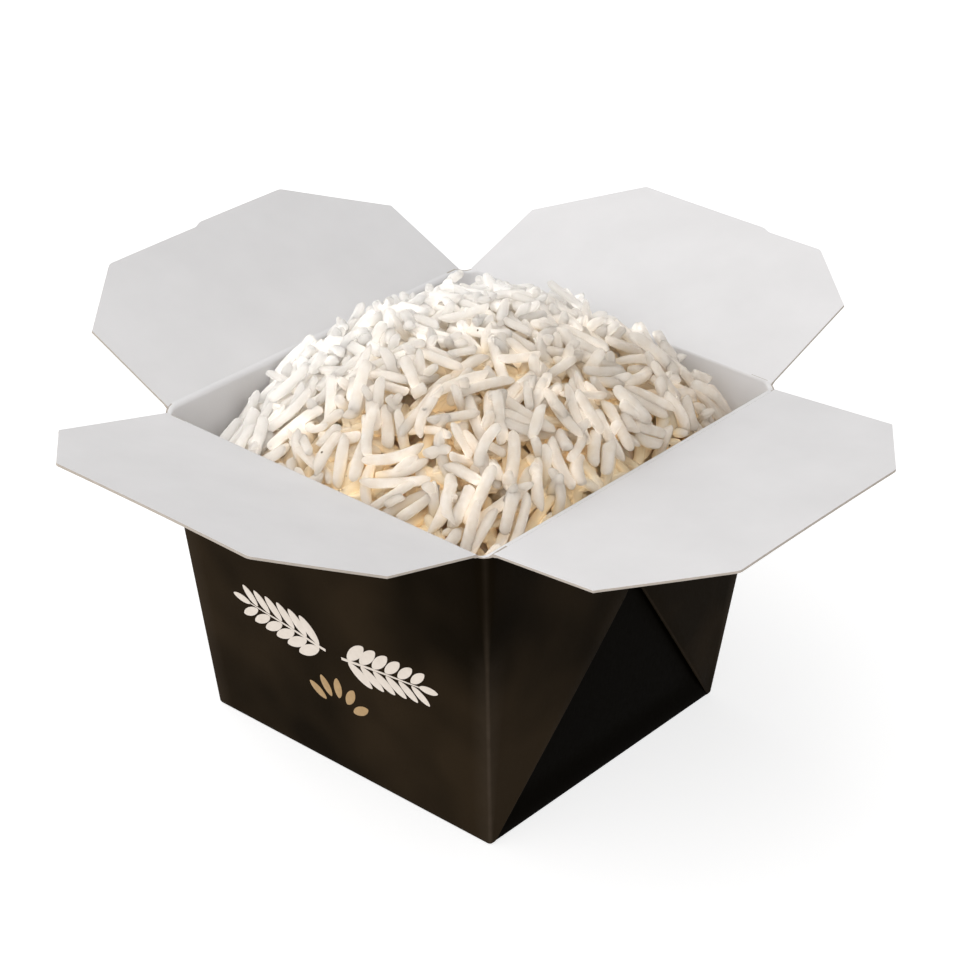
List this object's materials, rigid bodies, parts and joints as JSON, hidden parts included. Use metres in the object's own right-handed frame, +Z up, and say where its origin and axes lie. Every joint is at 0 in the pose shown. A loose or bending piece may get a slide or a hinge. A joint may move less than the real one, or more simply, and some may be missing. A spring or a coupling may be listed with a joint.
{
  "type": "takeaway box of white rice",
  "caption": "Open folded-board takeaway box with standing lid flaps, dark outside and white inside, filled with a heap of plain boiled long-grain rice.",
  "frame": {"origin": "middle of the box's flat foot, on the table", "axes": "+Z up; the printed front panel faces -Y; the folded end walls face +X and -X"},
  "size_m": [0.1623, 0.1759, 0.0914],
  "materials": {
    "printed_board": "board printed brown-black, satin",
    "white_board": "uncoated white board, matt",
    "rice": "cooked rice, moist and slightly translucent",
    "cream_ink": "opaque cream print",
    "gold_ink": "matt gold-brown print"
  },
  "bodies": {
    "box": {"carton": "printed_board", "rice": "rice"},
    "lid_front": {"flap_front": "white_board"},
    "lid_back": {"flap_back": "white_board"},
    "lid_left": {"flap_left": "white_board"},
    "lid_right": {"flap_right": "white_board"}
  },
  "joints": [
    {"name": "crease_front", "type": "hinge", "parent": "box", "child": "lid_front", "pos_m": [0, -0.0476, 0.0735], "axis": [-1, 0, 0], "range_deg": [-104.5, 100.5]},
    {"name": "crease_back", "type": "hinge", "parent": "box", "child": "lid_back", "pos_m": [0, 0.0476, 0.0735], "axis": [1, 0, 0], "range_deg": [-109.5, 95.5]},
    {"name": "crease_left", "type": "hinge", "parent": "box", "child": "lid_left", "pos_m": [-0.0436, 0, 0.0735], "axis": [0, 1, 0], "range_deg": [-114, 66]},
    {"name": "crease_right", "type": "hinge", "parent": "box", "child": "lid_right", "pos_m": [0.0436, 0, 0.0735], "axis": [0, -1, 0], "range_deg": [-94.5, 85.5]}
  ]
}
